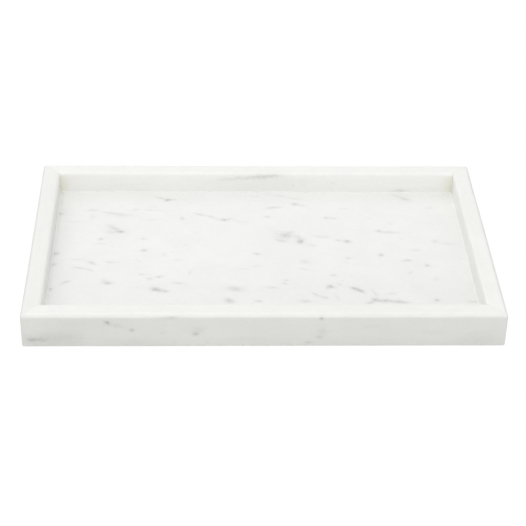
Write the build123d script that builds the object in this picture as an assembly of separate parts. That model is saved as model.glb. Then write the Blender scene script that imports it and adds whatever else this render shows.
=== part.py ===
from build123d import *
import os

# A rectangular stone tray for a dresser or a vanity top. A thin floor slab is
# glued between four full-height rails, which meet in glued mitres at the
# corners. Four self-adhesive felt feet under the slab keep it off the surface.
# Units are millimetres. +X runs along the tray, +Y to its back and +Z up. The
# origin is the middle of the tray, on the plane that the feet stand on.

# ---- overall sizes of the stone ----
TRAY_LENGTH = 300.0            # outside, along X
TRAY_WIDTH = 180.0             # outside, along Y
RAIL_HEIGHT = 24.5             # from the underside to the top of the rim
RAIL_THICKNESS = 12.0          # stone strip that the four rails are sawn from
SLAB_THICKNESS = 9.0           # floor slab, flush with the rails underneath

# ---- eased edges ----
OUTER_ROUND = 2.6              # rim's outer top edge
CORNER_ROUND = 1.3             # the four upright outer corners
INNER_ROUND = 1.8              # rim's inner top edge
BOTTOM_ROUND = 1.2             # outer bottom edge

# ---- glue lines ----
MITRE_GLUE = 0.25              # cured resin between two mitred rail ends
SLAB_GLUE = 0.25               # cured resin between the slab's edge and a rail

# ---- feet ----
FOOT_DIAMETER = 20.0
FELT_THICKNESS = 1.2
FILM_THICKNESS = 0.2           # double-sided adhesive film on top of the felt
FILM_MARGIN = 0.4              # the film is punched this much smaller all round
FOOT_MARGIN = 6.0              # slab left showing between its edge and a foot

# ---- places that follow from the sizes ----
UNDERSIDE = FELT_THICKNESS + FILM_THICKNESS
RIM_TOP = UNDERSIDE + RAIL_HEIGHT
INNER_LENGTH = TRAY_LENGTH - 2 * RAIL_THICKNESS
INNER_WIDTH = TRAY_WIDTH - 2 * RAIL_THICKNESS
SLAB_LENGTH = INNER_LENGTH - 2 * SLAB_GLUE
SLAB_WIDTH = INNER_WIDTH - 2 * SLAB_GLUE
FOOT_X = SLAB_LENGTH / 2 - FOOT_MARGIN - FOOT_DIAMETER / 2
FOOT_Y = SLAB_WIDTH / 2 - FOOT_MARGIN - FOOT_DIAMETER / 2
CUT_REACH = TRAY_LENGTH + TRAY_WIDTH   # longer than any cut through the tray

STANDING = (Align.CENTER, Align.CENTER, Align.MIN)
CORNERS = {
    "front_left": (-1, -1),
    "front_right": (1, -1),
    "back_right": (1, 1),
    "back_left": (-1, 1),
}


def at_height(z):
    """A place on the tray's upright axis."""
    return Pos(0, 0, z)


def rim_frame():
    """The four rails and their mitre glue as one ring, with every edge eased."""
    block = at_height(UNDERSIDE) * Box(TRAY_LENGTH, TRAY_WIDTH, RAIL_HEIGHT, align=STANDING)
    block = fillet(block.edges().filter_by(Axis.Z), CORNER_ROUND)
    top_loop = block.faces().sort_by(Axis.Z)[-1].edges()
    block = fillet(top_loop, OUTER_ROUND)
    bottom_loop = block.faces().sort_by(Axis.Z)[0].edges()
    block = fillet(bottom_loop, BOTTOM_ROUND)
    well = at_height(UNDERSIDE) * Box(INNER_LENGTH, INNER_WIDTH, RAIL_HEIGHT, align=STANDING)
    ring = block - well
    rim_face = ring.faces().filter_by(Axis.Z).sort_by(Axis.Z)[-1]
    inner_loop = rim_face.inner_wires()[0].edges()
    return fillet(inner_loop, INNER_ROUND)


def mitre_wedges():
    """Four upright prisms that part the ring at its mitres, clear of the glue.

    Each wedge has a corner point on either side, set back from the mitre's
    middle plane by half the glue line.
    """
    set_back = MITRE_GLUE / 2 * 2 ** 0.5
    half_x = TRAY_LENGTH / 2
    half_y = TRAY_WIDTH / 2
    out = RAIL_THICKNESS       # how far past the outside a wedge starts
    into = RAIL_THICKNESS + INNER_ROUND    # and how far inside it ends
    along_x = [
        (-half_x - out + set_back, -half_y - out),
        (half_x + out - set_back, -half_y - out),
        (half_x - into - set_back, -half_y + into),
        (-half_x + into + set_back, -half_y + into),
    ]
    along_y = [
        (-half_x - out, half_y + out - set_back),
        (-half_x - out, -half_y - out + set_back),
        (-half_x + into, -half_y + into + set_back),
        (-half_x + into, half_y - into - set_back),
    ]
    front = extrude(make_face(Polyline(*along_x, close=True)), RIM_TOP)
    left = extrude(make_face(Polyline(*along_y, close=True)), RIM_TOP)
    return {
        "front_rail": front,
        "back_rail": mirror(front, Plane.XZ),
        "left_rail": left,
        "right_rail": mirror(left, Plane.YZ),
    }


def rails(ring):
    """One solid for each stone rail, by name."""
    return {name: ring & wedge for name, wedge in mitre_wedges().items()}


def mitre_glue_lines(ring):
    """The film of cured resin in each mitre, flush with the stone around it."""
    films = {}
    for corner, (side_x, side_y) in CORNERS.items():
        plate = Box(CUT_REACH, MITRE_GLUE, RIM_TOP, align=(Align.MIN, Align.CENTER, Align.MIN))
        inner_x = side_x * (INNER_LENGTH / 2 - RAIL_THICKNESS)
        inner_y = side_y * (INNER_WIDTH / 2 - RAIL_THICKNESS)
        heading = {(1, 1): 45, (-1, 1): 135, (-1, -1): 225, (1, -1): 315}[side_x, side_y]
        films[corner + "_mitre_glue"] = ring & (Pos(inner_x, inner_y, 0) * Rot(0, 0, heading) * plate)
    return films


def floor_slab():
    """The stone floor, sawn square so that its edges bed against the rails."""
    return at_height(UNDERSIDE) * Box(SLAB_LENGTH, SLAB_WIDTH, SLAB_THICKNESS, align=STANDING)


def floor_glue():
    """The ring of cured resin that holds the slab's four edges to the rails."""
    filled = at_height(UNDERSIDE) * Box(INNER_LENGTH, INNER_WIDTH, SLAB_THICKNESS, align=STANDING)
    return filled - floor_slab()


def feet():
    """A felt disc and its adhesive film under each corner of the slab."""
    pieces = {}
    for corner, (side_x, side_y) in CORNERS.items():
        place = Pos(side_x * FOOT_X, side_y * FOOT_Y, 0)
        pieces[corner + "_felt_foot"] = place * Cylinder(FOOT_DIAMETER / 2, FELT_THICKNESS, align=STANDING)
        film = Cylinder(FOOT_DIAMETER / 2 - FILM_MARGIN, FILM_THICKNESS, align=STANDING)
        pieces[corner + "_foot_film"] = place * at_height(FELT_THICKNESS) * film
    return pieces


def tray_pieces():
    """Every solid of the tray, by node name."""
    ring = rim_frame()
    return {
        "floor_slab": floor_slab(),
        **rails(ring),
        **mitre_glue_lines(ring),
        "floor_glue": floor_glue(),
        **feet(),
    }


os.makedirs("parts", exist_ok=True)
for node, solid in tray_pieces().items():
    export_step(solid, f"parts/{node}.step")
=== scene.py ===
"""A white marble vanity tray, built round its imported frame.

Every size is in metres. +X runs along the tray, +Y to its back and +Z up, and the tray
stands on Z = 0.
"""

import math

import bmesh
import bpy
import numpy as np
from bpy.props import FloatProperty, FloatVectorProperty, IntProperty, PointerProperty
from bpy.types import Operator, Panel, PropertyGroup
from mathutils import Matrix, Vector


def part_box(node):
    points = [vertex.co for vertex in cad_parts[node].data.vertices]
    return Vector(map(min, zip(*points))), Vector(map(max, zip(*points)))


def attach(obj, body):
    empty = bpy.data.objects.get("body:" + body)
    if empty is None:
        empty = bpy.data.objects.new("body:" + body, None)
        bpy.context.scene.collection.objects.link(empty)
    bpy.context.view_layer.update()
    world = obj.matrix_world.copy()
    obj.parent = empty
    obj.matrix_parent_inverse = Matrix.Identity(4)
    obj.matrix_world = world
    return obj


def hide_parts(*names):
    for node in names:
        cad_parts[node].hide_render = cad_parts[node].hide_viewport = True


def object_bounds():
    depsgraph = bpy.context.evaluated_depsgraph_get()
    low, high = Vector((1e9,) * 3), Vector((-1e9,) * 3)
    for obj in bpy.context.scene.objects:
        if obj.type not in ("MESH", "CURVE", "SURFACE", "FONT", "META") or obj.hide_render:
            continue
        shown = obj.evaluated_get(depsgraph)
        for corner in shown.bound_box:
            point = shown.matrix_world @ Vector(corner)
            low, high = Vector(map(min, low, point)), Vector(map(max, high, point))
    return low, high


bl_info = {
    "name": "Marble Vanity Tray",
    "version": (1, 0, 0),
    "blender": (4, 5, 0),
    "location": "3D View > Sidebar > Vanity Tray",
    "description": "Builds a white marble vanity tray and the studio it stands in",
    "category": "Add Mesh",
}

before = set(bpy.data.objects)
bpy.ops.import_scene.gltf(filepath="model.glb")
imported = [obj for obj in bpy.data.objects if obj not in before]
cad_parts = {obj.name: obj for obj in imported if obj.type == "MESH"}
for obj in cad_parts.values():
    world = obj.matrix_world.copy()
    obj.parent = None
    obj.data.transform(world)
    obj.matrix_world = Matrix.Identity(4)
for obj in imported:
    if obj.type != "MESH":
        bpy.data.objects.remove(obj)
CAD_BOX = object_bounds()
MM = 0.001

# ---- places read from the frame ----
HALF_LENGTH = CAD_BOX[1].x
HALF_WIDTH = CAD_BOX[1].y
RIM_TOP = CAD_BOX[1].z
INNER_HALF_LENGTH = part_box("floor_glue")[1].x
INNER_HALF_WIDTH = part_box("floor_glue")[1].y
SLAB_LOW, SLAB_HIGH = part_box("floor_slab")
UNDERSIDE = SLAB_LOW.z
FLOOR_TOP = SLAB_HIGH.z
RAIL_THICKNESS = HALF_LENGTH - INNER_HALF_LENGTH
RAIL_HEIGHT = RIM_TOP - UNDERSIDE
GLUE_GAP = INNER_HALF_LENGTH - SLAB_HIGH.x

# Each rail: its half length, how far out it lies, and whether it runs along Y.
RAILS = {
    "front_rail": (HALF_LENGTH, -HALF_WIDTH, False),
    "back_rail": (HALF_LENGTH, HALF_WIDTH, False),
    "left_rail": (HALF_WIDTH, -HALF_LENGTH, True),
    "right_rail": (HALF_WIDTH, HALF_LENGTH, True),
}
CORNERS = {
    "front_left": (-1, -1),
    "front_right": (1, -1),
    "back_right": (1, 1),
    "back_left": (-1, 1),
}

# ---- grey marks in the stone, and washes of painted shade on the rails' faces, in millimetres ----
# Most middles on the floor, and several on the front rail and inside the back rail, are rounded
# numbers that a separate program worked out through a fitted camera. The other middles, and all
# sizes, turns and strengths, were judged or made up.
# On the floor: middle along X and Y, half length, half width, turn in degrees, strength.
FLOOR_MARKS = (
    (-63, 67.5, 2.2, 1.6, 0, 1.0), (-68, 70, 5.5, 1.3, -28, 0.45), (-59, 67.5, 4, 1.1, 0, 0.4),
    (-85, 55, 2.4, 1.3, 0, 0.4), (-114, 54, 4, 1.2, 12, 0.4), (-103, 50.5, 6, 1.2, -14, 0.42),
    (-95, 48, 10, 3, -10, 0.3), (-99, 28, 9, 7, -40, 0.16), (-114, 45.5, 2.2, 3.4, 0, 0.22),
    (-127, 39, 5, 0.9, 0, 0.3), (-99, 32, 5, 1.6, -42, 0.5), (-94, 27, 3.8, 1.8, -8, 0.95),
    (-101, 26, 2.4, 1, 0, 0.34), (-107, 17.5, 2.2, 1.8, 0, 0.62), (-107, 12, 4.5, 0.9, 0, 0.34),
    (-78.5, 18, 2.2, 1.6, -30, 0.44), (-77.5, 4, 2.8, 1.6, 0, 0.66),
    (-52.5, 43.5, 1.6, 1.9, 0, 0.55), (-72, 42, 6, 1.2, 5, 0.24), (-70, 53.5, 9, 0.9, -6, 0.2),
    (-136, 0, 2.6, 2, 0, 0.75), (-137, -12.5, 4, 1.6, 0, 0.55), (-136, 49, 3, 1.8, 0, 0.5),
    (-127, -33, 3.8, 1.5, 38, 0.58), (-136, -41, 2, 1.6, 0, 0.6), (-111, -11, 4.2, 1.5, -32, 0.6),
    (-122, -6.5, 6, 0.9, -6, 0.3), (-99, -10, 4.6, 1, -6, 0.42), (-119, -17, 5, 1.2, -12, 0.5),
    (-112, -19, 3, 1.1, -30, 0.4), (-102, -31, 3.2, 1.6, -35, 0.3),
    (-100, -34, 3.8, 1.8, -8, 0.8), (-78, -24, 3, 1, -8, 0.36), (-73, -29, 2.2, 1.4, -25, 0.46),
    (-67, -26.5, 3.2, 1.2, 14, 0.6), (-68.5, -41, 4.8, 2.4, -18, 1.0),
    (-63, -43, 4, 1.4, -12, 0.5), (-54, -34, 4, 1.2, -10, 0.55), (-47, -22.5, 0.9, 2.6, 0, 0.3),
    (-64, -1, 1.2, 2.4, 0, 0.26), (-55, -7.5, 4, 1.2, 8, 0.22), (-40, 48.5, 6, 0.9, -16, 0.5),
    (-32, 45, 4, 0.9, -30, 0.55), (-24, 41.6, 3.4, 1.5, -8, 0.85), (-20, 42.8, 2.4, 1, 20, 0.5),
    (-15, 40.5, 4, 0.8, -22, 0.38), (-9, 39, 2, 1, 0, 0.3), (-2.3, 0, 2.4, 1.6, 0, 0.6),
    (-12, -18, 4.6, 0.9, 0, 0.32), (-3, -14.5, 3, 0.9, 0, 0.24), (-18, -40.5, 6, 3, -6, 0.6),
    (-21.5, -53.5, 4, 2.6, -30, 0.75), (-3, -54, 3, 1.4, -8, 0.5), (-1, 72, 3.2, 1.4, 0, 0.26),
    (16, 73, 4, 1, -6, 0.4), (8, 75, 5, 0.9, -10, 0.24), (27, 69.5, 7, 1.1, -18, 0.26),
    (26, 62, 3, 1.6, -22, 0.7), (31, 60.5, 3.6, 0.9, 0, 0.36), (11, 57.5, 5.4, 1.5, 10, 0.6),
    (6, 45.5, 2.8, 1.5, -8, 0.5), (47, 44.5, 2.2, 1.3, 0, 0.62), (52, 43.5, 2.8, 1, -14, 0.5),
    (59, 56, 3.2, 1.2, 0, 0.26), (15, 22, 8, 5, -40, 0.34), (22, 26, 3, 2, 0, 0.3),
    (18.5, 23.5, 3.2, 4, 0, 0.6), (14, 16, 5, 2, -20, 0.42), (26, 20, 5, 2.4, -35, 0.34),
    (27.5, 15, 2.8, 3.4, 0, 0.95), (35, 10, 4, 1.8, -16, 0.3), (42, 21, 6.5, 2.2, -8, 0.34),
    (53, 16.5, 2.4, 1, 0, 0.56), (59, 15, 3, 1.8, -18, 0.86), (81.5, 28, 2, 1.2, 0, 0.72),
    (88, 26.5, 8, 1.4, -4, 0.5), (90.5, 37.5, 1.8, 2.2, 0, 0.26), (104, 69, 5, 2.4, -24, 0.42),
    (99, 73, 6, 1.1, -32, 0.34), (58, -5, 2.4, 1.2, 0, 0.6), (80.5, -1, 2, 1.8, 0, 0.74),
    (97.5, -8, 3.8, 1.5, 0, 0.62), (104, 4.5, 4, 1.2, -6, 0.34), (98, -22, 1.8, 1.4, 0, 0.4),
    (29, -9.5, 4.4, 3, -10, 0.34), (28, -18, 4, 1, -18, 0.34), (16, -30.5, 3, 1, 8, 0.42),
    (14.5, -34.5, 2.6, 1.5, -20, 0.46), (6, -39, 4.6, 1.7, -10, 0.36),
    (47, -25.5, 2.4, 1.4, 0, 0.5), (43, -38.5, 1.8, 3.2, -30, 0.7),
    (45.5, -38.5, 2.6, 1.2, -30, 0.66), (50, -35, 1.8, 1.2, -30, 0.4),
    (59, -39.5, 3, 1.2, -22, 0.7), (62.5, -42.5, 4.6, 2.1, -34, 1.0),
    (34, -46.5, 4, 1.4, -34, 0.48), (39.5, -50, 3, 1.4, -6, 0.52), (27, -54, 4.4, 1.7, -12, 0.44),
    (48, -51, 1.2, 2.6, 0, 0.3), (69, -55.5, 4, 1.6, 14, 0.5), (72, -52.5, 3, 1.8, -20, 0.8),
    (79, -54, 7, 1.7, -4, 0.66), (88, -55.5, 6, 2, -10, 0.7), (72, -45, 1.1, 5, 22, 0.34),
    (83, -46, 4, 1.5, 8, 0.34), (110, -14, 1.9, 1.5, 0, 0.72), (118.5, 15.5, 2.4, 2.2, 0, 0.42),
    (127, 12, 5, 1.3, -4, 0.3), (111.5, -53.5, 2, 1.6, 0, 0.8), (135, -55, 5.5, 1.2, 0, 0.5),
    (114, -29, 1.8, 2.4, 0, 0.24), (119.5, 57.5, 3.2, 1.8, 0, 0.26), (-40, -66, 5, 1.6, -20, 0.6),
    (96, -68, 4, 1.5, -28, 0.5), (12, -71, 6, 1.3, -16, 0.45),
)
# On a rail's outer face: middle along the rail and height, half length, half height, turn,
# strength.
# The front face's last entry, a long faint band along its bottom, is painted shade that makes the face
# darker towards the bottom. Its wide patches towards both ends make the face darker there.
FRONT_MARKS_AND_SHADE = (
    (-97, 20.3, 1.7, 1.4, -20, 1.1), (-91, 17.5, 6, 1.7, -16, 0.26),
    (-82, 14.5, 1.8, 1.1, 0, 0.95), (-57, 23.5, 3, 1, 8, 0.5), (-62, 23.7, 4, 0.9, 0, 0.26),
    (-43, 11.3, 2, 1.3, 0, 0.8), (-41, 14.5, 5, 3.2, 0, 0.24), (-143.5, 7, 3.6, 1.6, 0, 0.62),
    (-138, 7.3, 4, 1.5, 0, 0.34), (34.5, 23, 1.9, 1.4, 0, 0.85), (35.5, 13, 3.4, 3.4, 0, 0.26),
    (33.5, 9, 1.9, 1.5, 0, 0.5), (27, 4.6, 2.6, 1.2, 8, 0.6), (66, 17, 7, 1.4, 4, 0.14),
    (105, 12, 9, 1.8, -4, 0.12), (-15, 8, 8, 1.6, 4, 0.12), (-130, 8, 24, 7, 3, 0.42),
    (-114, 19, 34, 6, 0, 0.12), (-80, 5, 22, 4, 0, 0.14), (134, 7, 16, 8, 4, 0.2),
    (0, 3, 220, 6, 0, 0.08),
)
# On a rail's inner face.
# On the back face, the last entry, a faint wash over the whole face, is painted shade.
BACK_INNER_MARKS_AND_SHADE = (
    (1, 22.8, 14, 2, 3, 0.5), (9, 23.8, 9, 1.3, 0, 0.3), (-18, 21.4, 12, 1.7, 4, 0.3),
    (102, 11.6, 7, 1.6, 0, 0.4), (-86, 17, 12, 1.3, 0, 0.1), (16, 18, 42, 8, 0, 0.12),
    (0, 17, 150, 12, 0, 0.04),
)
# On the left inner face, every entry is a broad faint wash or soft patch of painted shade that darkens
# the face.
LEFT_INNER_SHADE = (
    (10, 17, 84, 9, 0, 0.15), (63, 14, 6, 5, 10, 0.12), (43, 14, 4, 5, -8, 0.14),
    (24, 15, 6, 5, 6, 0.16), (2, 14, 4, 4, 0, 0.16), (-12, 14, 6, 4, -6, 0.14),
    (-46, 15, 9, 5, 4, 0.1),
)
# On the right inner face, the first entry, a faint wash over the whole face, is painted shade; the
# rest are faint streaks.
RIGHT_INNER_MARKS_AND_SHADE = (
    (0, 17, 90, 8, 0, 0.1), (35, 18, 14, 2.4, 5, 0.1), (-10, 15, 16, 2, -4, 0.1),
    (-38, 17, 12, 2.2, 3, 0.08),
)
BACK_OUTER_MARKS = (
    (-52, 12, 14, 2, 5, 0.5), (-20, 19, 4, 1.4, -10, 0.7), (76, 9, 9, 1.6, -6, 0.55),
    (118, 17, 3, 1.6, 0, 0.6),
)
LEFT_OUTER_MARKS = (
    (-46, 15, 9, 1.8, -10, 0.5), (22, 8, 4, 1.5, 6, 0.6), (51, 19, 6, 1.3, -6, 0.4),
)
RIGHT_OUTER_MARKS = (
    (-58, 9, 7, 1.6, 6, 0.5), (8, 17, 5, 1.4, -12, 0.6), (47, 10, 10, 1.8, -4, 0.4),
)

ARC_STEPS = 7                  # mesh steps round the tray's upright corners, each half
FAN = 1.2 * MM                 # length of the short run beside a mitre on the rim's flat
SQRT2 = math.sqrt(2)
GREY = "grey"                  # name of the attribute that holds the strength of the marks and of the painted shade
MARK_DEPTH = 4.0               # how far a mark reaches into the stone, in millimetres
MARK_SHARE = 0.5               # how much of the vein's colour a mark of strength 1 takes

# ---- the stone's pattern ----
CLOUD_SIZE = 45 * MM
GRAIN = (9 * MM, 2.2 * MM)        # length and width of the fine drawn-out grain
FLECK = (6 * MM, 2.1 * MM)        # length and width of the stray flecks
CRYSTAL_SIZE = 0.9 * MM
HAIRLINE = (30 * MM, 0.4 * MM)    # length and width of the lines that wiping leaves
RAIL_WARMTH = 0.012               # share of their blue that the honed rails lack
CREEP_SHARE = 0.3                 # how much of the resin's colour the stone takes at a joint
CREEP_FADE = 6 * MM               # how far below the rim the crept resin reaches its full colour

# ---- the studio ----
BOX_WIDTH = 0.5                # width of each soft box
FLOOR_HALF = 2.0               # half the width of the studio floor
FLOOR_POINTS = 41              # points along each side of it
FLOOR_WHITE = 1.06             # strength of the white that the camera sees in the floor
FLOOR_SEEN = 0.93              # how much of that white covers the diffuse floor for the camera
FLOOR_GLOW = 0.8               # strength of the glow towards what stands just above it
GLOW_REACH = 2.5 * MM          # how far that glow carries


# ------------------------------------------------------------------ settings


def length_setting(name, description, default, low, high):
    """A length, whose default and limits are given in millimetres."""
    return FloatProperty(name=name, description=description, default=default * MM, min=low * MM,
                         max=high * MM, unit="LENGTH")


def colour_setting(name, description, red, green, blue):
    """An opaque colour."""
    return FloatVectorProperty(name=name, description=description, default=(red, green, blue, 1),
                               size=4, min=0, max=1, subtype="COLOR")


def roughness_setting(name, description, default):
    """A roughness, from nearly a mirror to fully matt."""
    return FloatProperty(name=name, description=description, default=default, min=0.05, max=1,
                         subtype="FACTOR")


def power_setting(name, description, default):
    """A lamp's power in watts."""
    return FloatProperty(name=name, description=description, default=default, min=0, unit="POWER")


class StoneSettings(PropertyGroup):
    """Sizes and colours of the marble."""

    outer_round: length_setting("Outer round", "Radius of the rim's outer top edge", 2.6, 0.5, 5)
    corner_round: length_setting(
        "Corner round", "Radius of the four upright outer corners", 1.3, 0.3, 5)
    inner_round: length_setting("Inner round", "Radius of the rim's inner top edge", 1.8, 0.3, 4)
    bottom_round: length_setting("Bottom round", "Radius of the outer bottom edge", 1.2, 0.3, 3)
    arris: length_setting(
        "Arris", "Radius left on an edge that was only stroked with a stone", 0.3, 0.1, 1)
    wave: length_setting("Hand finish", "How far the honed faces stray from flat", 0.06, 0, 0.5)
    uneven_edge: length_setting(
        "Uneven easing", "How much more the hand-eased edges lose in places", 0.28, 0, 1)
    nicks: IntProperty(
        name="Nicks", description="Tiny chips along each rail's edges", default=16, min=0, max=80)
    mesh_step: length_setting("Mesh step", "Spacing of the stone's surface points", 0.75, 0.4, 4)
    ground: colour_setting("Ground", "Colour of the clean stone", 0.902, 0.902, 0.888)
    cloud: colour_setting("Cloud", "Colour of the stone's duller patches", 0.85, 0.85, 0.835)
    # The vein colour is also the colour of the painted shade on the rails' faces.
    vein: colour_setting("Vein", "Colour of the grey marks", 0.31, 0.315, 0.305)
    creep: colour_setting(
        "Resin creep", "Colour that resin leaves in the stone beside a joint", 0.73, 0.71, 0.48)
    polish: roughness_setting("Floor roughness", "Roughness of the polished floor", 0.34)
    hone: roughness_setting("Rail roughness", "Roughness of the honed rails", 0.42)


class JointSettings(PropertyGroup):
    """Sizes and colours of the resin, the felt and the film."""

    resin: colour_setting("Resin", "Colour of the cured resin", 0.93, 0.93, 0.915)
    recess: length_setting("Recess", "How far the cured resin sinks below the stone", 0.0, 0, 0.3)
    bead: length_setting(
        "Bead", "Size of the wiped resin bead between the floor and a rail", 0.95, 0.1, 1.5)
    felt: colour_setting("Felt", "Colour of the felt feet", 0.66, 0.645, 0.60)
    fuzz: IntProperty(
        name="Fibres", description="Loose fibres round each felt foot", default=420, min=0, max=2000)
    film: colour_setting("Film", "Colour of the adhesive film", 0.80, 0.76, 0.64)


class StudioSettings(PropertyGroup):
    """Lights, floor and camera."""

    surround: FloatProperty(
        name="Surround", description="Strength of the even light from the white walls",
        default=0.80, min=0, max=4)
    key: power_setting("Key", "Power of the soft box at the back left", 1.55)
    top: power_setting("Top", "Power of the soft box overhead", 2.9)
    fill: power_setting("Fill", "Power of the low soft box in front", 3.5)
    floor: colour_setting(
        "Floor", "Colour that the studio floor throws back at the tray", 0.50, 0.50, 0.475)
    lens: FloatProperty(
        name="Lens", description="Focal length on a 36 mm wide sensor, in millimetres",
        default=106.2, min=10, max=400)
    place: FloatVectorProperty(
        name="Camera place", description="Where the camera stands", size=3, unit="LENGTH",
        default=(-40.5 * MM, -856.6 * MM, 586.4 * MM))
    pitch: FloatProperty(
        name="Pitch", description="How far the camera looks down", subtype="ANGLE",
        default=math.radians(34.26))
    turn: FloatProperty(
        name="Turn", description="How far the camera is turned to its right", subtype="ANGLE",
        default=math.radians(2.338))


# ------------------------------------------------------------------ surfaces


def rounded_section(height, thickness, radii, step, inset=0.0):
    """The closed outline of a rail's section with its outward normals.

    The outline is a rectangle whose four corners are quarter circles. A point on a quarter
    circle is its centre plus the radius times (cosine, sine) of a turning angle, and evenly
    spaced straight runs join one quarter circle to the next. It starts at the bottom outer
    corner and goes up the outer face. radii are bottom outer, top outer, top inner and bottom
    inner. Returns points and normals as (depth from the outer face, height) pairs, and how
    near each point is to the middle of the top outer and top inner quarter circle, 0 to 1.
    """
    r0, r1, r2, r3 = radii
    centres = np.array([(r0, r0), (r1, height - r1), (thickness - r2, height - r2),
                        (thickness - r3, r3)])
    starts = -math.pi / 2 * (1 + np.arange(4))
    points, normals, nearness = [], [], []
    for k, radius in enumerate(radii):
        count = max(3, math.ceil(radius * math.pi / 2 / (step * 0.55))) + 1
        along = np.linspace(0, 1, count)
        angle = starts[k] - math.pi / 2 * along
        normal = np.stack([np.cos(angle), np.sin(angle)], axis=1)
        arc = centres[k] + radius * normal
        points.append(arc)
        normals.append(normal)
        bell = np.sin(math.pi * along) ** 2
        nearness.append(np.stack([bell * (k == 1), bell * (k == 2)], axis=1))
        following = (k + 1) % 4
        begin = centres[following] + radii[following] * normal[-1]
        runs = max(2, math.ceil(np.linalg.norm(begin - arc[-1]) / step))
        between = np.linspace(0, 1, runs + 1)[1:-1, None]
        points.append(arc[-1] + between * (begin - arc[-1]))
        normals.append(np.repeat(normal[-1:], len(between), axis=0))
        nearness.append(np.zeros((len(between), 2)))
    normals = np.concatenate(normals)
    return np.concatenate(points) - inset * normals, normals, np.concatenate(nearness)


def rim_section(stone, inset=0.0):
    """The section that the rails and the mitre glue share, drawn in by inset."""
    radii = (stone.bottom_round, stone.outer_round, stone.inner_round, stone.arris)
    return rounded_section(RAIL_HEIGHT, RAIL_THICKNESS, radii, stone.mesh_step, inset)


def rail_surface(outline, normals, half_length, half_across, corner_round, set_back, step):
    """A rail between its two mitres, as rows of points along it.

    A point at some depth from the outer face follows the tray's outline moved in by that
    depth. Near a corner the moved outline is a circle arc, whose radius is the corner's less
    the depth, from the mitre's 45 degrees to 0, and beyond that it is straight. A point
    deeper than the corner's radius has no arc and starts on the mitre itself. Every row is
    kept behind the mitre plane by set_back. Returns (along, across, up) places and normals.
    """
    depth, height = outline.T
    spare = np.clip(corner_round - depth, 0, None)
    has_arc = spare > 1e-7
    lost = np.clip(set_back / (SQRT2 * np.maximum(spare, 1e-7)), 0, math.sqrt(0.5))
    share = np.linspace(1, 0, ARC_STEPS + 1)[:, None]
    turn = np.where(has_arc, (math.pi / 4 - np.arcsin(lost)) * share, 0.0)
    arc_across = half_across - corner_round + spare * np.cos(turn)
    across = np.where(has_arc, arc_across, half_across - depth)
    arc_along = half_length - corner_round + spare * np.sin(turn)
    flat_along = half_length - depth - set_back - FAN * (1 - share)
    limit = half_length - half_across + across - set_back
    along = np.minimum(np.where(has_arc, arc_along, flat_along), limit)
    rows = math.ceil(2 * half_length / step)
    middle = np.linspace(1, -1, rows)[1:-1, None]
    along = np.concatenate([along, along[-1] * middle, -along[::-1]])
    across = np.concatenate([across, np.repeat(across[-1:], rows - 2, axis=0), across[::-1]])
    turn = np.concatenate([turn, np.zeros((rows - 2, len(depth))), -turn[::-1]])
    up = np.broadcast_to(height, along.shape)
    out = -normals[:, 0]
    upward = np.broadcast_to(normals[:, 1], turn.shape)
    facing = np.stack([out * np.sin(turn), out * np.cos(turn), upward], axis=-1)
    return np.stack([along, across, up], axis=-1), facing


def ripple(points, length, seed, waves=10):
    """Smooth unevenness, mostly from -1 to 1.

    It is a sum of sine waves that cross the stone in random directions. Each wave is about
    as long as length, and the sum is divided by the square root of half their number.
    """
    draw = np.random.default_rng(seed)
    heading = draw.normal(size=(waves, 3))
    heading /= np.linalg.norm(heading, axis=1)[:, None]
    heading /= length * draw.uniform(0.7, 1.5, waves)[:, None]
    phase = draw.uniform(0, 2 * math.pi, waves)
    return np.sin(2 * math.pi * points @ heading.T + phase).sum(axis=-1) / math.sqrt(waves / 2) / 1.6


def nicks(points, chance, seed, count, smallest, largest):
    """How deep small chips bite at each point.

    Each chip is centred on a random point of the edge. Its bite is a third of its radius
    times the square root of one minus the squared share of that radius, a shallow bowl.
    """
    draw = np.random.default_rng(seed)
    bite = np.zeros(points.shape[:-1])
    places = points[chance > 0.5]
    for centre in places[draw.integers(0, len(places), count)]:
        radius = draw.uniform(smallest, largest)
        share = ((points - centre) ** 2).sum(axis=-1) / radius ** 2
        bite = np.maximum(bite, radius / 3 * np.sqrt(np.clip(1 - share, 0, 1)))
    return bite


def hand_finish(points, facing, nearness, stone, seed):
    """Moves each point along its normal, as honing and easing by hand leave it.

    The move is a long ripple and a short one over every face, less an uneven cut where an
    edge is eased, less the nicks.
    """
    outer, inner = nearness[..., 0], nearness[..., 1]
    move = stone.wave * (0.8 * ripple(points, 60 * MM, 11) + 0.2 * ripple(points, 9 * MM, 12))
    swell = 0.5 + 0.5 * ripple(points, 38 * MM, 13)
    move = move - stone.uneven_edge * (outer * swell + 0.6 * inner * (1 - swell))
    move = move - nicks(points, outer + inner, seed, stone.nicks, 0.35 * MM, 0.9 * MM)
    return points + facing * move[..., None]


def grid_faces(rows, columns):
    """Quads of a grid of points whose last column joins its first."""
    row = np.arange(rows - 1)[:, None]
    column = np.arange(columns)[None, :]
    following = (column + 1) % columns
    quads = [row * columns + column, row * columns + following,
             (row + 1) * columns + following, (row + 1) * columns + column]
    return np.stack(np.broadcast_arrays(*quads), axis=-1).reshape(-1, 4)


def tube_faces(rows, columns):
    """A grid's quads and the two faces that close its ends."""
    last = (rows - 1) * columns
    ends = [list(range(columns)), list(range(last, last + columns))]
    return grid_faces(rows, columns).tolist() + ends


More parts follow.
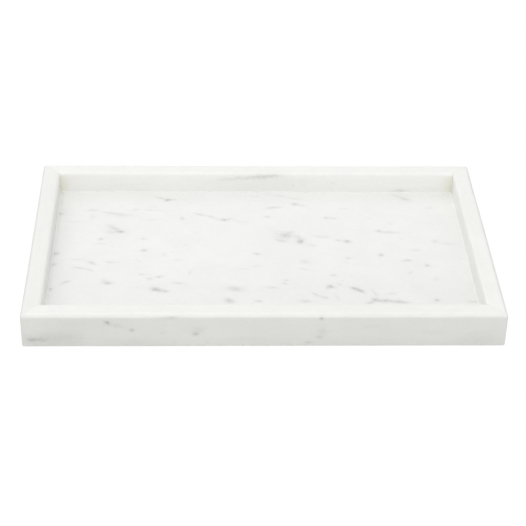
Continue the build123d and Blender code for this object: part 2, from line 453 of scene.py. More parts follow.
def stone_mesh(name, points, faces, crease=38):
    """A closed mesh object with outward faces, smooth up to the crease angle in degrees."""
    mesh = bpy.data.meshes.new(name)
    mesh.from_pydata(points.reshape(-1, 3).tolist(), [], faces)
    shape = bmesh.new()
    shape.from_mesh(mesh)
    bmesh.ops.remove_doubles(shape, verts=shape.verts, dist=1e-6)
    bmesh.ops.dissolve_degenerate(shape, edges=shape.edges, dist=1e-7)
    bmesh.ops.recalc_face_normals(shape, faces=shape.faces)
    limit = math.radians(crease)
    for edge in shape.edges:
        edge.smooth = len(edge.link_faces) != 2 or edge.calc_face_angle(0) < limit
    for face in shape.faces:
        face.smooth = True
    shape.to_mesh(mesh)
    shape.free()
    piece = bpy.data.objects.new(name, mesh)
    bpy.context.scene.collection.objects.link(piece)
    return piece


def mark_strength(points, marks, side):
    """How strongly the grey marks, and the washes of painted shade among them, colour each point.

    Each mark is an ellipse on its face, turned by its angle, with a third half axis that
    reaches a little way into the stone. With d a point's distance from the middle, counted
    in half axes, it colours by exp(-1.6 d^2), plus a weak halo exp(-0.35 d^2). The points are
    bent by two ripples first, so that no mark is a plain ellipse, and marks add up.
    """
    kind, place = side
    order = {"top": (0, 1, 2), "facing_y": (0, 2, 1), "facing_x": (1, 2, 0)}[kind]
    bent = points[:, order] / MM
    for axis in (0, 1):
        bent[:, axis] += 0.35 * ripple(points, 6 * MM, 201 + axis)
        bent[:, axis] += 0.2 * ripple(points, 2.4 * MM, 203 + axis)
    deep = (bent[:, 2] - place / MM) / MARK_DEPTH
    total = np.zeros(len(points))
    for first, second, half_long, half_wide, turn, strength in marks:
        angle = math.radians(turn)
        a, b = bent[:, 0] - first, bent[:, 1] - second
        along = (a * math.cos(angle) + b * math.sin(angle)) / half_long
        across = (b * math.cos(angle) - a * math.sin(angle)) / half_wide
        square = along ** 2 + across ** 2 + deep ** 2
        total += strength * (np.exp(-1.6 * square) + 0.08 * np.exp(-0.35 * square))
    return total


def add_grey(piece, listed):
    """Writes the strength of a piece's grey marks and painted shade at each of its points."""
    mesh = piece.data
    points = np.empty(len(mesh.vertices) * 3, np.float32)
    mesh.vertices.foreach_get("co", points)
    points = points.reshape(-1, 3).astype(float)
    strength = sum(mark_strength(points, marks, side) for marks, side in listed)
    layer = mesh.attributes.new(GREY, "FLOAT", "POINT")
    layer.data.foreach_set("value", strength.astype(np.float32))


def place_piece(piece, material, node):
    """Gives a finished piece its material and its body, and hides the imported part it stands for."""
    piece.data.materials.append(material)
    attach(piece, "root")
    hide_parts(node)


# ------------------------------------------------------------------ node helpers


def connect(tree, node, inputs):
    """Sets a node's inputs. Each is a value, or the output socket that feeds it."""
    for key, value in inputs.items():
        if isinstance(value, bpy.types.NodeSocket):
            tree.links.new(value, node.inputs[key])
        else:
            node.inputs[key].default_value = value


def wire(tree, kind, inputs=None, **settings):
    """A new node with its settings and its inputs."""
    node = tree.nodes.new("ShaderNode" + kind)
    for key, value in settings.items():
        setattr(node, key, value)
    connect(tree, node, inputs or {})
    return node


def sums(tree, operation, first, second=0.0, third=0.0, clamp=False):
    """The result of one Math node."""
    values = {0: first, 1: second, 2: third}
    return wire(tree, "Math", values, operation=operation, use_clamp=clamp).outputs[0]


def times(tree, first, second):
    """The product of two values."""
    return sums(tree, "MULTIPLY", first, second)


def span(tree, value, low, high, to_low=0.0, to_high=1.0):
    """value eased smoothly from one range to another."""
    values = {"Value": value, "From Min": low, "From Max": high, "To Min": to_low, "To Max": to_high}
    return wire(tree, "MapRange", values, interpolation_type="SMOOTHSTEP").outputs[0]


def tint(tree, share, first, second, blend="MIX"):
    """first mixed with second by share."""
    values = {0: share, 6: first, 7: second}
    return wire(tree, "Mix", values, data_type="RGBA", blend_type=blend, clamp_factor=True).outputs[2]


def noise(tree, vector, scale, detail=3.0, roughness=0.5, distortion=0.0):
    """The value of a Noise Texture node."""
    values = {"Vector": vector, "Scale": scale, "Detail": detail, "Roughness": roughness,
              "Distortion": distortion}
    return wire(tree, "TexNoise", values).outputs[0]


def turned(tree, vector, offset, angles):
    """vector moved by offset and turned by three angles."""
    values = {"Vector": vector, "Location": offset, "Rotation": angles}
    return wire(tree, "Mapping", values).outputs[0]


def stretched(tree, vector, length, width):
    """vector divided by length along X and by width across it."""
    across = sums(tree, "DIVIDE", 1.0, width)
    scale = wire(tree, "CombineXYZ", {0: sums(tree, "DIVIDE", 1.0, length), 1: across, 2: across})
    return wire(tree, "VectorMath", {0: vector, 1: scale.outputs[0]}, operation="MULTIPLY").outputs[0]


# ------------------------------------------------------------------ shared effects


def soft_clouds(tree, given):
    """Soft mottling: two sizes of noise, added."""
    scale = sums(tree, "DIVIDE", 1.0, given["Size"])
    large = noise(tree, given["Vector"], scale, 3, 0.55, 0.7)
    small = noise(tree, given["Vector"], times(tree, scale, 3.7), 2, 0.5, 0.3)
    both = sums(tree, "MULTIPLY_ADD", small, 0.35, times(tree, large, 0.65))
    return {"Cloud": span(tree, both, 0.32, 0.68)}


def drawn_grain(tree, given):
    """Fine grain drawn out along X: noise on stretched coordinates."""
    drawn = stretched(tree, given["Vector"], given["Length"], given["Width"])
    return {"Streak": noise(tree, drawn, 1.0, 4, 0.6, 0.4)}


def sparse_flecks(tree, given):
    """Sparse short flecks: the peaks of stretched noise, kept only in some patches."""
    drawn = stretched(tree, given["Vector"], given["Length"], given["Width"])
    peaks = noise(tree, drawn, 1.0, 2, 0.45, 0.5)
    ragged = noise(tree, drawn, 4.3, 2, 0.6)
    high = sums(tree, "MULTIPLY_ADD", ragged, 0.12, peaks)
    fleck = span(tree, high, given["Rarity"], sums(tree, "ADD", given["Rarity"], 0.09))
    scale = sums(tree, "DIVIDE", 0.12, given["Length"])
    patch = noise(tree, given["Vector"], scale, 2)
    return {"Fleck": times(tree, fleck, span(tree, patch, 0.42, 0.6))}


def crept_resin(tree, given):
    """Resin that has crept into the stone: it fades with distance from an upright corner line."""
    parts = wire(tree, "SeparateXYZ", {0: given["Vector"]}).outputs
    goal = wire(tree, "SeparateXYZ", {0: given["Corner"]}).outputs
    beside = sums(tree, "SUBTRACT", sums(tree, "ABSOLUTE", parts[0]), goal[0])
    behind = sums(tree, "SUBTRACT", parts[1], goal[1])
    squares = sums(tree, "MULTIPLY_ADD", beside, beside, times(tree, behind, behind))
    wobble = noise(tree, given["Vector"], 260.0, 3, 0.6)
    reach = times(tree, given["Reach"], sums(tree, "ADD", wobble, 0.5))
    share = sums(tree, "DIVIDE", sums(tree, "SQRT", squares), reach)
    low = span(tree, parts[2], goal[2], sums(tree, "SUBTRACT", goal[2], CREEP_FADE))
    return {"Creep": times(tree, span(tree, share, 1.0, 0.0), low)}


def sugary_grain(tree, given):
    """The stone's crystals: random brightness of small cells, and the depth between them."""
    scale = sums(tree, "DIVIDE", 1.0, given["Size"])
    cells = wire(tree, "TexVoronoi", {"Vector": given["Vector"], "Scale": scale}).outputs
    bright = wire(tree, "SeparateColor", {0: cells["Color"]}).outputs[0]
    return {"Grain": bright, "Depth": cells["Distance"]}


def wiped_polish(tree, given):
    """Roughness that varies: wiping leaves broad soft patches and fine hairlines."""
    broad = noise(tree, given["Vector"], 55.0, 3, 0.5, 0.4)
    lines = noise(tree, stretched(tree, given["Vector"], *HAIRLINE), 1.0, 2)
    both = sums(tree, "MULTIPLY_ADD", lines, 0.3, times(tree, broad, 0.7))
    shift = times(tree, sums(tree, "SUBTRACT", both, 0.5), given["Spread"])
    return {"Roughness": sums(tree, "ADD", given["Base"], shift, clamp=True)}


# Each shared node group: what builds it, its inputs and its outputs.
EFFECTS = {
    "stone_cloud": (soft_clouds, ("Vector", "Size"), ("Cloud",)),
    "stone_streak": (drawn_grain, ("Vector", "Length", "Width"), ("Streak",)),
    "stone_fleck": (sparse_flecks, ("Vector", "Length", "Width", "Rarity"), ("Fleck",)),
    "resin_creep": (crept_resin, ("Vector", "Corner", "Reach"), ("Creep",)),
    "stone_crystal": (sugary_grain, ("Vector", "Size"), ("Grain", "Depth")),
    "wiped_polish": (wiped_polish, ("Vector", "Base", "Spread"), ("Roughness",)),
}


def effect(tree, name, **values):
    """The outputs of a node that uses a shared group with its own values.

    The group is built the first time. Vector and Corner are vectors, the rest plain values.
    """
    build, inputs, outputs = EFFECTS[name]
    group = bpy.data.node_groups.get(name)
    if not group:
        group = bpy.data.node_groups.new(name, "ShaderNodeTree")
        for way, labels in (("INPUT", inputs), ("OUTPUT", outputs)):
            for label in labels:
                kind = "Vector" if label in ("Vector", "Corner") else "Float"
                group.interface.new_socket(label, in_out=way, socket_type="NodeSocket" + kind)
        results = build(group, group.nodes.new("NodeGroupInput").outputs)
        connect(group, group.nodes.new("NodeGroupOutput"), results)
    return wire(tree, "Group", values, node_tree=group).outputs


# ------------------------------------------------------------------ materials


def new_material(name):
    """An empty node material, its tree, its Principled shader and its Object coordinates."""
    material = bpy.data.materials.new(name)
    material.use_nodes = True
    tree = material.node_tree
    return material, tree, tree.nodes["Principled BSDF"], wire(tree, "TexCoord").outputs["Object"]


def shared_material(name, build, joints):
    """The material of that name, built once by the given function."""
    material = bpy.data.materials.get(name)
    if not material:
        material, tree, shader, coordinates = new_material(name)
        build(tree, shader, coordinates, joints)
    return material


def shaded(colour, factor):
    """An opaque colour made darker or paler by a factor."""
    return tuple(min(1.0, factor * c) for c in colour[:3]) + (1,)


def dress(tree, shader, colour, roughness, height, strength, depth, **others):
    """Feeds a shader its colour, its roughness and a bump, depth high in millimetres."""
    bump = wire(tree, "Bump", {"Strength": strength, "Distance": depth * MM, "Height": height})
    connect(tree, shader, {"Base Color": colour, "Roughness": roughness, "Normal": bump.outputs[0]})
    connect(tree, shader, {key.replace("_", " "): value for key, value in others.items()})


def marble(name, stone, cut, warmth, roughness, rarity, reach):
    """White marble with its own piece of the block's pattern.

    cut is where the piece lies in the block, as an offset and a heading, and its tone, which
    makes it paler or darker. warmth takes a share of its blue away, rarity keeps stray flecks
    few, and reach is how far resin colours the stone at the two back inner corners.
    """
    offset, heading, tone = cut
    material, tree, shader, coordinates = new_material(name)
    block = turned(tree, coordinates, offset, (0, 0, math.radians(heading)))
    cloud = effect(tree, "stone_cloud", Vector=block, Size=CLOUD_SIZE)["Cloud"]
    streak = effect(tree, "stone_streak", Vector=block, Length=GRAIN[0], Width=GRAIN[1])["Streak"]
    fleck = effect(
        tree, "stone_fleck", Vector=block, Length=FLECK[0], Width=FLECK[1], Rarity=rarity)["Fleck"]
    crystal = effect(tree, "stone_crystal", Vector=block, Size=CRYSTAL_SIZE)

    cast = (tone, tone, tone * (1 - warmth), 1)
    ground, dull = ([a * b for a, b in zip(colour, cast)] for colour in (stone.ground, stone.cloud))
    shade = tint(tree, times(tree, cloud, 0.55), ground, dull)
    shade = tint(tree, span(tree, streak, 0.40, 0.72, 0.0, 0.22), shade, dull)
    sugar = span(tree, crystal["Grain"], 0.0, 1.0, 0.99, 1.01)
    sugar = wire(tree, "CombineColor", {0: sugar, 1: sugar, 2: sugar}).outputs[0]
    shade = tint(tree, 1.0, shade, sugar, "MULTIPLY")

    # The grey attribute holds the stone's marks and, on the rails' faces, washes of painted shade.
    marks = wire(tree, "Attribute", attribute_name=GREY).outputs["Fac"]
    fine = noise(tree, coordinates, 700.0, 3, 0.6)
    marks = times(tree, marks, span(tree, fine, 0.3, 0.7, 0.7, 1.2))
    total = sums(tree, "MULTIPLY_ADD", fleck, 0.22, marks)
    grey = sums(tree, "MULTIPLY", total, MARK_SHARE, clamp=True)
    shade = tint(tree, grey, shade, stone.vein)

    if reach:
        corner = (INNER_HALF_LENGTH, INNER_HALF_WIDTH, RIM_TOP)
        crept = effect(tree, "resin_creep", Vector=coordinates, Corner=corner, Reach=reach)["Creep"]
        shade = tint(tree, times(tree, crept, CREEP_SHARE), shade, stone.creep)

    polish = effect(tree, "wiped_polish", Vector=block, Base=roughness, Spread=0.16)["Roughness"]
    pits = noise(tree, block, 700.0, 3, 0.6)
    height = sums(tree, "MULTIPLY_ADD", crystal["Depth"], 0.25, pits)
    height = sums(tree, "SUBTRACT", height, times(tree, grey, 0.8))
    dress(tree, shader, shade, polish, height, 0.5, 0.02, Subsurface_Weight=0.12,
          Subsurface_Radius=(1.0, 0.95, 0.9), Subsurface_Scale=0.8 * MM, IOR=1.49)
    return material


def cured_resin(tree, shader, coordinates, joints):
    """Waxy and faintly yellow, with a few trapped bubbles and stone dust."""
    cloud = effect(tree, "stone_cloud", Vector=coordinates, Size=12 * MM)["Cloud"]
    shade = tint(tree, cloud, joints.resin, shaded(joints.resin, 0.96))
    polish = effect(tree, "wiped_polish", Vector=coordinates, Base=0.38, Spread=0.2)["Roughness"]
    dress(tree, shader, shade, polish, noise(tree, coordinates, 1500.0, 2), 0.4, 0.03)


def pressed_felt(tree, shader, coordinates, joints):
    """Matted wool fibres that run every way, with a soft sheen."""
    other = turned(tree, coordinates, (0, 0, 0), (0.3, 0.2, 1.9))
    ways = [effect(tree, "stone_streak", Vector=vector, Length=4 * MM, Width=0.3 * MM)["Streak"]
            for vector in (coordinates, other)]
    matted = sums(tree, "MAXIMUM", *ways)
    shade = tint(tree, span(tree, matted, 0.42, 0.7), shaded(joints.felt, 0.72), joints.felt)
    rough = span(tree, matted, 0.3, 0.8, 0.82, 0.98)
    dress(tree, shader, shade, rough, matted, 0.9, 0.12, Sheen_Weight=0.35, Sheen_Roughness=0.5)


def foot_adhesive(tree, shader, coordinates, joints):
    """Double-sided film: smooth and honey-tinted, with trapped air in blotches."""
    cloud = effect(tree, "stone_cloud", Vector=coordinates, Size=4 * MM)["Cloud"]
    shade = tint(tree, cloud, joints.film, shaded(joints.film, 1.12))
    dress(tree, shader, shade, span(tree, cloud, 0.2, 0.8, 0.14, 0.34), cloud, 0.4, 0.03)


def floor_material(studio):
    """The studio floor: white to the camera, a diffuse floor to the stone.

    It glows towards whatever stands just above it, so that the tray's underside isn't black,
    and the camera sees through its underside.
    """
    material, tree, shader, coordinates = new_material("studio_floor")
    dust = span(tree, noise(tree, coordinates, 30.0, 3), 0.3, 0.7, 0.0, 0.02)
    shade = tint(tree, dust, studio.floor, (0.4, 0.4, 0.4, 1))
    connect(tree, shader, {"Base Color": shade, "Roughness": 0.9})
    path = wire(tree, "LightPath").outputs
    behind = wire(tree, "NewGeometry").outputs["Backfacing"]
    white, glow = (wire(tree, "Emission", {"Color": (1, 1, 1, 1), "Strength": strength}).outputs[0]
                   for strength in (FLOOR_WHITE, FLOOR_GLOW))
    clear = wire(tree, "BsdfTransparent").outputs[0]
    near = sums(tree, "LESS_THAN", path["Ray Length"], GLOW_REACH)
    seen = times(tree, path["Is Camera Ray"], FLOOR_SEEN)
    below = times(tree, behind, path["Is Camera Ray"])
    shown = shader.outputs[0]
    for share, over in ((near, glow), (seen, white), (below, clear)):
        shown = wire(tree, "MixShader", {0: share, 1: shown, 2: over}).outputs[0]
    connect(tree, tree.nodes["Material Output"], {"Surface": shown})
    return material


# ------------------------------------------------------------------ operators


class TRAY_OT_floor_slab(Operator):
    """Build the polished marble floor of the tray"""

    bl_idname = "tray.floor_slab"
    bl_label = "Floor Slab"

    # The slab's share of the block's pattern: offset in metres, heading in degrees, tone.
    cut = ((0.31, 0.17, 0.05), 22.0, 1.0)

    def execute(self, context):
        stone = context.scene.tray_stone
        half = np.array([SLAB_HIGH.x, SLAB_HIGH.y])
        edge = stone.arris
        counts = np.ceil(2 * half / stone.mesh_step).astype(int)
        top = self.sheet(half - edge, counts, FLOOR_TOP, stone)
        loop = self.border(counts)
        ring = top.reshape(-1, 3)[loop]
        outward = ring[:, :2] / (half - edge)
        outward = np.where(np.abs(outward) > 0.999999, np.sign(outward), 0)
        rings = [ring]
        for reach, height in ((1.0, FLOOR_TOP - edge), (1.0, UNDERSIDE + edge), (0.0, UNDERSIDE)):
            moved = ring.copy()
            moved[:, :2] += outward * edge * reach
            moved[:, 2] = height
            rings.append(moved)
        for share in (0.98, 0.8, 0.45):
            moved = rings[3].copy()
            moved[:, :2] *= share
            rings.append(moved)
        points = np.concatenate([top.reshape(-1, 3), *rings[1:]])
        faces = self.sheet_faces(counts) + self.ring_faces(loop, counts.prod(), len(rings) - 1)
        faces.append(list(range(len(points) - len(loop), len(points))))
        piece = stone_mesh("marble_floor", points, faces)
        add_grey(piece, [(FLOOR_MARKS, ("top", FLOOR_TOP))])
        material = marble("floor_marble", stone, self.cut, 0.0, stone.polish, 0.70, 6 * MM)
        place_piece(piece, material, "floor_slab")
        return {"FINISHED"}

    @staticmethod
    def sheet(half, counts, height, stone):
        """A sheet of points, raised and lowered by a slight ripple that dies at its border."""
        x, y = np.meshgrid(*(np.linspace(-h, h, n) for h, n in zip(half, counts)), indexing="ij")
        points = np.stack([x, y, np.full_like(x, height)], axis=-1)
        calm = np.minimum(half[0] - np.abs(x), half[1] - np.abs(y)) / (6 * MM)
        sway = 0.5 * stone.wave * ripple(points, 50 * MM, 31)
        sway = sway + 0.1 * stone.wave * ripple(points, 7 * MM, 32)
        points[..., 2] += sway * np.clip(calm, 0, 1)
        return points

    @staticmethod
    def border(counts):
        """Indices of a sheet's border points, in order round it."""
        rows, columns = counts
        index = np.arange(rows * columns).reshape(rows, columns)
        return np.concatenate([index[:-1, 0], index[-1, :-1], index[:0:-1, -1], index[0, :0:-1]])

    @staticmethod
    def sheet_faces(counts):
        """Quads of a sheet of points."""
        rows, columns = counts
        index = np.arange(rows * columns).reshape(rows, columns)
        quads = np.stack([index[:-1, :-1], index[1:, :-1], index[1:, 1:], index[:-1, 1:]], axis=-1)
        return quads.reshape(-1, 4).tolist()

    @staticmethod
    def ring_faces(loop, start, rings):
        """Quads that join the border to the rings of points that follow the sheet."""
        count = len(loop)
        table = np.concatenate([loop[None, :], start + np.arange(rings * count).reshape(rings, count)])
        following = np.roll(table, -1, axis=1)
        quads = np.stack([table[:-1], following[:-1], following[1:], table[1:]], axis=-1)
        return quads.reshape(-1, 4).tolist()


class TRAY_OT_rim_rails(Operator):
    """Build the four mitred marble rails of the rim"""

    bl_idname = "tray.rim_rails"
    bl_label = "Rim Rails"

    # Each rail's share of the block's pattern: offset in metres, heading in degrees, tone.
    cuts = {
        "front_rail": ((0.52, 0.11, 0.30), 4.0, 0.99),
        "back_rail": ((0.12, 0.63, 0.21), -6.0, 1.014),
        "left_rail": ((0.74, 0.35, 0.42), 84.0, 0.962),
        "right_rail": ((0.23, 0.91, 0.13), 97.0, 1.012),
    }
    # Each face's grey marks; some broad washes on the front face and the inner faces are painted
    # shade.
    marks = {
        "front_rail": [(FRONT_MARKS_AND_SHADE, ("facing_y", -HALF_WIDTH))],
        "back_rail": [(BACK_INNER_MARKS_AND_SHADE, ("facing_y", INNER_HALF_WIDTH)),
                      (BACK_OUTER_MARKS, ("facing_y", HALF_WIDTH))],
        "left_rail": [(LEFT_INNER_SHADE, ("facing_x", -INNER_HALF_LENGTH)),
                      (LEFT_OUTER_MARKS, ("facing_x", -HALF_LENGTH))],
        "right_rail": [(RIGHT_INNER_MARKS_AND_SHADE, ("facing_x", INNER_HALF_LENGTH)),
                       (RIGHT_OUTER_MARKS, ("facing_x", HALF_LENGTH))],
    }

    def execute(self, context):
        stone = context.scene.tray_stone
        outline, normals, nearness = rim_section(stone)
        for seed, (node, (half_length, out, along_y)) in enumerate(RAILS.items()):
            points, facing = rail_surface(outline, normals, half_length, abs(out),
                                          stone.corner_round, GLUE_GAP / SQRT2, stone.mesh_step)
            points, facing = (lay_rail(a, out, along_y) for a in (points, facing))
            points[..., 2] += UNDERSIDE
            near = np.broadcast_to(nearness, points.shape[:-1] + (2,))
            points = hand_finish(points, facing, near, stone, 100 + seed)
            piece = stone_mesh("marble_" + node, points, tube_faces(*points.shape[:2]))
            add_grey(piece, self.marks[node])
            reach = 0 if node == "front_rail" else 9 * MM
            material = marble(
                node + "_marble", stone, self.cuts[node], RAIL_WARMTH, stone.hone, 0.74, reach)
            place_piece(piece, material, node)
        return {"FINISHED"}


def lay_rail(values, out, along_y):
    """(along, across, up) values turned to where the rail lies, outwards on its own side."""
    along, across, up = values[..., 0], values[..., 1] * math.copysign(1, out), values[..., 2]
    return np.stack([across, along, up] if along_y else [along, across, up], axis=-1)


class TRAY_OT_mitre_glue(Operator):
    """Build the thin films of cured resin in the four mitres"""

    bl_idname = "tray.mitre_glue"
    bl_label = "Mitre Glue"

    def execute(self, context):
        stone, joints = context.scene.tray_stone, context.scene.tray_joints
        outline, normals, nearness = rim_section(stone, joints.recess)
        depth, height = outline.T
        spare = np.clip(stone.corner_round - depth, 0, None)
        inward = np.where(spare > 0, stone.corner_round - spare * math.sqrt(0.5), depth)
        for corner, (side_x, side_y) in CORNERS.items():
            middle = np.stack([side_x * (HALF_LENGTH - inward), side_y * (HALF_WIDTH - inward),
                               UNDERSIDE + height], axis=-1)
            across = np.array([side_x, -side_y, 0]) / SQRT2
            share = np.linspace(-0.5, 0.5, 3)[:, None, None]
            points = middle + share * GLUE_GAP * across
            out = -normals[:, 0] * math.sqrt(0.5)
            facing = np.stack([side_x * out, side_y * out, normals[:, 1]], axis=-1)
            swell = 0.5 + 0.5 * ripple(points, 38 * MM, 13)
            sag = 0.03 * MM * (ripple(points, 5 * MM, 41) - 0.6)
            sag = sag - stone.uneven_edge * nearness[:, 0] * swell
            points = points + facing * sag[..., None]
            piece = stone_mesh("resin_" + corner + "_mitre", points, tube_faces(*points.shape[:2]))
            resin = shared_material("joint_resin", cured_resin, joints)
            place_piece(piece, resin, corner + "_mitre_glue")
        return {"FINISHED"}


class TRAY_OT_floor_glue(Operator):
    """Build the ring of resin that holds the floor slab, with its small wiped bead"""

    bl_idname = "tray.floor_glue"
    bl_label = "Floor Glue"

    def execute(self, context):
        stone, joints = context.scene.tray_stone, context.scene.tray_joints
        ring, inward = self.track()
        # The section, as (inwards from the rail, up from the floor): a hollow bead above the
        # gap, which is a quarter circle seen from outside it, and the gap's filling below.
        angle = np.linspace(0, math.pi / 2, 7)
        hollow = np.stack([1 - np.cos(angle), 1 - np.sin(angle)], axis=1)[::-1]
        size = joints.bead * (0.75 + 0.25 * np.clip(0.5 + 0.5 * ripple(ring, 24 * MM, 51), 0, 1))
        bead = hollow[None, :, :] * size[:, None, None]
        bead[:, 0, 0], bead[:, -1, 0] = np.maximum(bead[:, 0, 0], GLUE_GAP + 1.3 * stone.arris), 0
        depth = FLOOR_TOP - UNDERSIDE - joints.recess
        below = np.array([(0, -depth), (GLUE_GAP, -depth), (GLUE_GAP, -0.1 * MM)])
        below = np.broadcast_to(below, (len(ring), 3, 2))
        section = np.concatenate([bead, below], axis=1)
        points = ring[:, None, :] + section[..., :1] * inward[:, None, :]
        points[..., 2] = FLOOR_TOP + section[..., 1]
        rows, columns = points.shape[:2]
        closed = np.concatenate([points, points[:1]])
        faces = grid_faces(rows + 1, columns).tolist()
        piece = stone_mesh("resin_floor_ring", closed, faces)
        resin = shared_material("joint_resin", cured_resin, joints)
        place_piece(piece, resin, "floor_glue")
        return {"FINISHED"}

    @staticmethod
    def track():
        """Points round the rails' inner faces, and the way inwards at each, doubled at corners."""
        half = np.array([INNER_HALF_LENGTH, INNER_HALF_WIDTH])
        corners = np.array(list(CORNERS.values())) * half
        following = np.roll(corners, -1, axis=0)
        share = np.linspace(0, 1, 120, endpoint=False)[:, None]
        runs = [begin + share * (end - begin) for begin, end in zip(corners, following)]
        flat = np.concatenate(runs)
        inward = -np.sign(np.where(np.abs(flat) > half - 1e-7, flat, 0))
        up = np.full(len(flat), FLOOR_TOP)
        return np.column_stack([flat, up]), np.column_stack([inward, np.zeros(len(flat))])


class TRAY_OT_felt_feet(Operator):
    """Build the four felt feet with their loose fibres"""

    bl_idname = "tray.felt_feet"
    bl_label = "Felt Feet"

    def execute(self, context):
        joints = context.scene.tray_joints
        for seed, corner in enumerate(CORNERS):
            node = corner + "_felt_foot"
            low, high = (np.array(c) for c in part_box(node))
            points = disc_surface(low, high, 132, 0.25 * MM)
            fuzzy = 0.05 * MM * ripple(points, 0.9 * MM, 61 + seed, 24)
            side = points - (low + high) / 2
            side[..., 2] = 0
            distance = np.linalg.norm(side, axis=-1)
            side /= np.maximum(distance, 1e-9)[..., None]
            share = distance / (high - low)[0] * 2
            points = points + side * (fuzzy - 0.08 * MM)[..., None] * np.clip(share, 0, 1)[..., None]
            inside = np.clip(points[..., 2], low[2] + 0.02 * MM, high[2])
            lifted = inside + 0.3 * np.abs(fuzzy) * (inside < low[2] + 0.3 * MM)
            points[..., 2] = np.where(share < 0.97, lifted, inside)
            felt = shared_material("pressed_felt", pressed_felt, joints)
            pad = stone_mesh(corner + "_felt_pad", points, tube_faces(*points.shape[:2]))
            place_piece(pad, felt, node)
            fibres = fibre_mesh(corner + "_felt_fibres", low, high, joints.fuzz, 71 + seed)
            fibres.data.materials.append(felt)
            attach(fibres, "root")
        return {"FINISHED"}


def disc_surface(low, high, sectors, edge):
    """A round pad as rings of points, from the middle of its underside over its rim to its top.

    Each ring is a circle: its radius and height follow the half outline of a disc whose rim
    has quarter circles of radius edge above and below.
    """
    radius = (high[0] - low[0]) / 2
    centre = (low + high) / 2
    edge = min(edge, (high[2] - low[2]) * 0.45)
    angle = np.linspace(0, math.pi / 2, 5)
    inner = np.linspace(0.02, 1, 12)[:-1] * (radius - edge)
    corner = np.stack([radius - edge + edge * np.sin(angle), low[2] + edge - edge * np.cos(angle)],
                      axis=1)
    half = np.concatenate([np.column_stack([inner, np.full(len(inner), low[2])]), corner])
    upper = half[::-1] * (1, -1) + (0, low[2] + high[2])
    outline = np.concatenate([half, upper])
    turn = np.linspace(0, 2 * math.pi, sectors, endpoint=False)
    x = centre[0] + outline[:, :1] * np.cos(turn)
    y = centre[1] + outline[:, :1] * np.sin(turn)
    z = np.broadcast_to(outline[:, 1:], x.shape)
    return np.stack([x, y, z], axis=-1)


def fibre_mesh(name, low, high, count, seed):
    """Loose wool fibres round a pad's rim, as one mesh of thin three-sided tubes.

    A fibre is a parabola: it starts on the rim, leaves it outwards and sideways in
    proportion to its parameter, and droops with the parameter's square.
    """
    draw = np.random.default_rng(seed)
    centre, radius = (low + high) / 2, (high[0] - low[0]) / 2
    turn = draw.uniform(0, 2 * math.pi, count)
    out = np.stack([np.cos(turn), np.sin(turn), np.zeros(count)], axis=1)
    sideways = np.stack([-out[:, 1], out[:, 0], out[:, 2]], axis=1)
    start = centre + out * (radius - 0.15 * MM)
    start[:, 2] = draw.uniform(low[2] + 0.2 * MM, high[2] - 0.15 * MM, count)
    reach = draw.uniform(0.1, 0.5, (count, 1)) * MM
    slide = draw.uniform(-1.1, 1.1, (count, 1)) * MM
    droop = draw.uniform(0.0, 0.25, (count, 1)) * MM
    share = np.linspace(0, 1, 5)[None, :, None]
    path = (start[:, None] + out[:, None] * (reach[:, None] * share * (2 - share))
            + sideways[:, None] * (slide[:, None] * share))
    path[..., 2:] -= droop[:, None] * share ** 2
    thick = 0.018 * MM * (1 - 0.7 * share)
    around = np.array([0, 2, 4]) * math.pi / 3
    cosine, sine = (wave(around)[None, None, :, None] for wave in (np.cos, np.sin))
    points = (path[:, :, None] + cosine * out[:, None, None] * thick[:, :, None]
              + sine * np.array([0, 0, 1.0]) * thick[:, :, None])
    points[..., 2] = np.maximum(points[..., 2], low[2] + 0.01 * MM)
    one = np.array(grid_faces(5, 3))
    base = np.arange(count)[:, None, None] * 15
    faces = (one[None] + base).reshape(-1, 4).tolist()
    ends = np.arange(count)[:, None] * 15
    faces += (ends + np.array([2, 1, 0])).tolist() + (ends + np.array([12, 13, 14])).tolist()
    return stone_mesh(name, points, faces)


class TRAY_OT_foot_films(Operator):
    """Build the adhesive films between the feet and the slab"""

    bl_idname = "tray.foot_films"
    bl_label = "Foot Films"

    def execute(self, context):
        joints = context.scene.tray_joints
        for seed, corner in enumerate(CORNERS):
            node = corner + "_foot_film"
            low, high = (np.array(c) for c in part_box(node))
            points = disc_surface(low, high, 96, 0.05 * MM)
            centre = (low + high) / 2
            ragged = 1 - 0.006 * (1 + ripple(points, 3 * MM, 81 + seed))
            points[..., :2] = centre[:2] + (points[..., :2] - centre[:2]) * ragged[..., None]
            piece = stone_mesh(corner + "_adhesive", points, tube_faces(*points.shape[:2]))
            film = shared_material("foot_adhesive", foot_adhesive, joints)
            place_piece(piece, film, node)
        return {"FINISHED"}


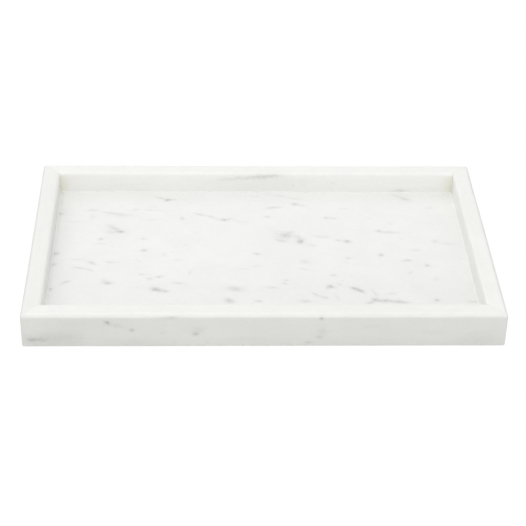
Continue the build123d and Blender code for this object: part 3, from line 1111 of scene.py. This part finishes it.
class TRAY_OT_studio(Operator):
    """Build the studio: the pale floor, the soft lights, the white surround and the camera"""

    bl_idname = "tray.studio"
    bl_label = "Studio"

    places = {"key": (-0.8, 0.9, 0.9), "top": (-0.22, 0, 1.3), "fill": (0, -1.5, 0.3)}

    def execute(self, context):
        studio = context.scene.tray_studio
        context.scene.view_settings.view_transform = "Standard"
        self.make_floor(studio)
        self.make_surround(context.scene, studio)
        for name, place in self.places.items():
            self.soft_box(name + "_box", getattr(studio, name), place)
        self.make_camera(context.scene, studio)
        return {"FINISHED"}

    @staticmethod
    def make_floor(studio):
        """A flat square sheet of points."""
        axis = np.linspace(-FLOOR_HALF, FLOOR_HALF, FLOOR_POINTS)
        x, y = np.meshgrid(axis, axis, indexing="ij")
        points = np.stack([x, y, np.zeros_like(x)], axis=-1)
        mesh = bpy.data.meshes.new("studio_floor")
        faces = TRAY_OT_floor_slab.sheet_faces((FLOOR_POINTS, FLOOR_POINTS))
        mesh.from_pydata(points.reshape(-1, 3).tolist(), [], faces)
        floor = bpy.data.objects.new("studio_floor", mesh)
        bpy.context.scene.collection.objects.link(floor)
        mesh.materials.append(floor_material(studio))

    @staticmethod
    def make_surround(scene, studio):
        """White walls: pure white to the camera, and an even light on the stone."""
        world = bpy.data.worlds.new("white_surround")
        world.use_nodes = True
        tree = world.node_tree
        tree.nodes.clear()
        light, shown = (wire(tree, "Background", {"Color": (1, 1, 1, 1), "Strength": strength})
                        for strength in (studio.surround, 1.0))
        seen = wire(tree, "LightPath").outputs["Is Camera Ray"]
        both = wire(tree, "MixShader", {0: seen, 1: light.outputs[0], 2: shown.outputs[0]})
        wire(tree, "OutputWorld", {"Surface": both.outputs[0]})
        scene.world = world

    @staticmethod
    def soft_box(name, power, place):
        """A square soft box that points at the tray."""
        lamp = bpy.data.lights.new(name, "AREA")
        lamp.energy = power
        lamp.size = BOX_WIDTH
        box = bpy.data.objects.new(name, lamp)
        bpy.context.scene.collection.objects.link(box)
        box.location = place
        box.rotation_euler = (-box.location).to_track_quat("-Z", "Y").to_euler()

    @staticmethod
    def make_camera(scene, studio):
        """A long lens that looks down on the tray from the front."""
        lens = bpy.data.cameras.new("camera")
        lens.lens = studio.lens
        lens.sensor_width = 36
        camera = bpy.data.objects.new("camera", lens)
        scene.collection.objects.link(camera)
        tilt = Matrix.Rotation(math.pi / 2 - studio.pitch, 4, "X")
        pan = Matrix.Rotation(-studio.turn, 4, "Y")
        camera.matrix_world = Matrix.Translation(studio.place) @ tilt @ pan
        scene.camera = camera


class TRAY_PT_panel(Panel):
    """Lists the steps that build the tray"""

    bl_idname = "TRAY_PT_panel"
    bl_label = "Vanity Tray"
    bl_space_type = "VIEW_3D"
    bl_region_type = "UI"
    bl_category = "Vanity Tray"

    def draw(self, context):
        layout = self.layout
        for step in STEPS:
            layout.operator(step.bl_idname)
        for name in SETTINGS:
            settings = getattr(context.scene, name)
            box = layout.box()
            for key in settings.__annotations__:
                box.prop(settings, key)


STEPS = (
    TRAY_OT_floor_slab,
    TRAY_OT_rim_rails,
    TRAY_OT_mitre_glue,
    TRAY_OT_floor_glue,
    TRAY_OT_felt_feet,
    TRAY_OT_foot_films,
    TRAY_OT_studio,
)
SETTINGS = {
    "tray_stone": StoneSettings,
    "tray_joints": JointSettings,
    "tray_studio": StudioSettings,
}


def register():
    for kind in (*SETTINGS.values(), *STEPS, TRAY_PT_panel):
        bpy.utils.register_class(kind)
    for name, kind in SETTINGS.items():
        setattr(bpy.types.Scene, name, PointerProperty(type=kind))


def unregister():
    for name in SETTINGS:
        delattr(bpy.types.Scene, name)
    for kind in reversed((*SETTINGS.values(), *STEPS, TRAY_PT_panel)):
        bpy.utils.unregister_class(kind)


def main():
    """Builds every piece in order."""
    register()
    for step in STEPS:
        getattr(bpy.ops.tray, step.bl_idname.split(".")[1])()


if __name__ == "__main__":
    main()
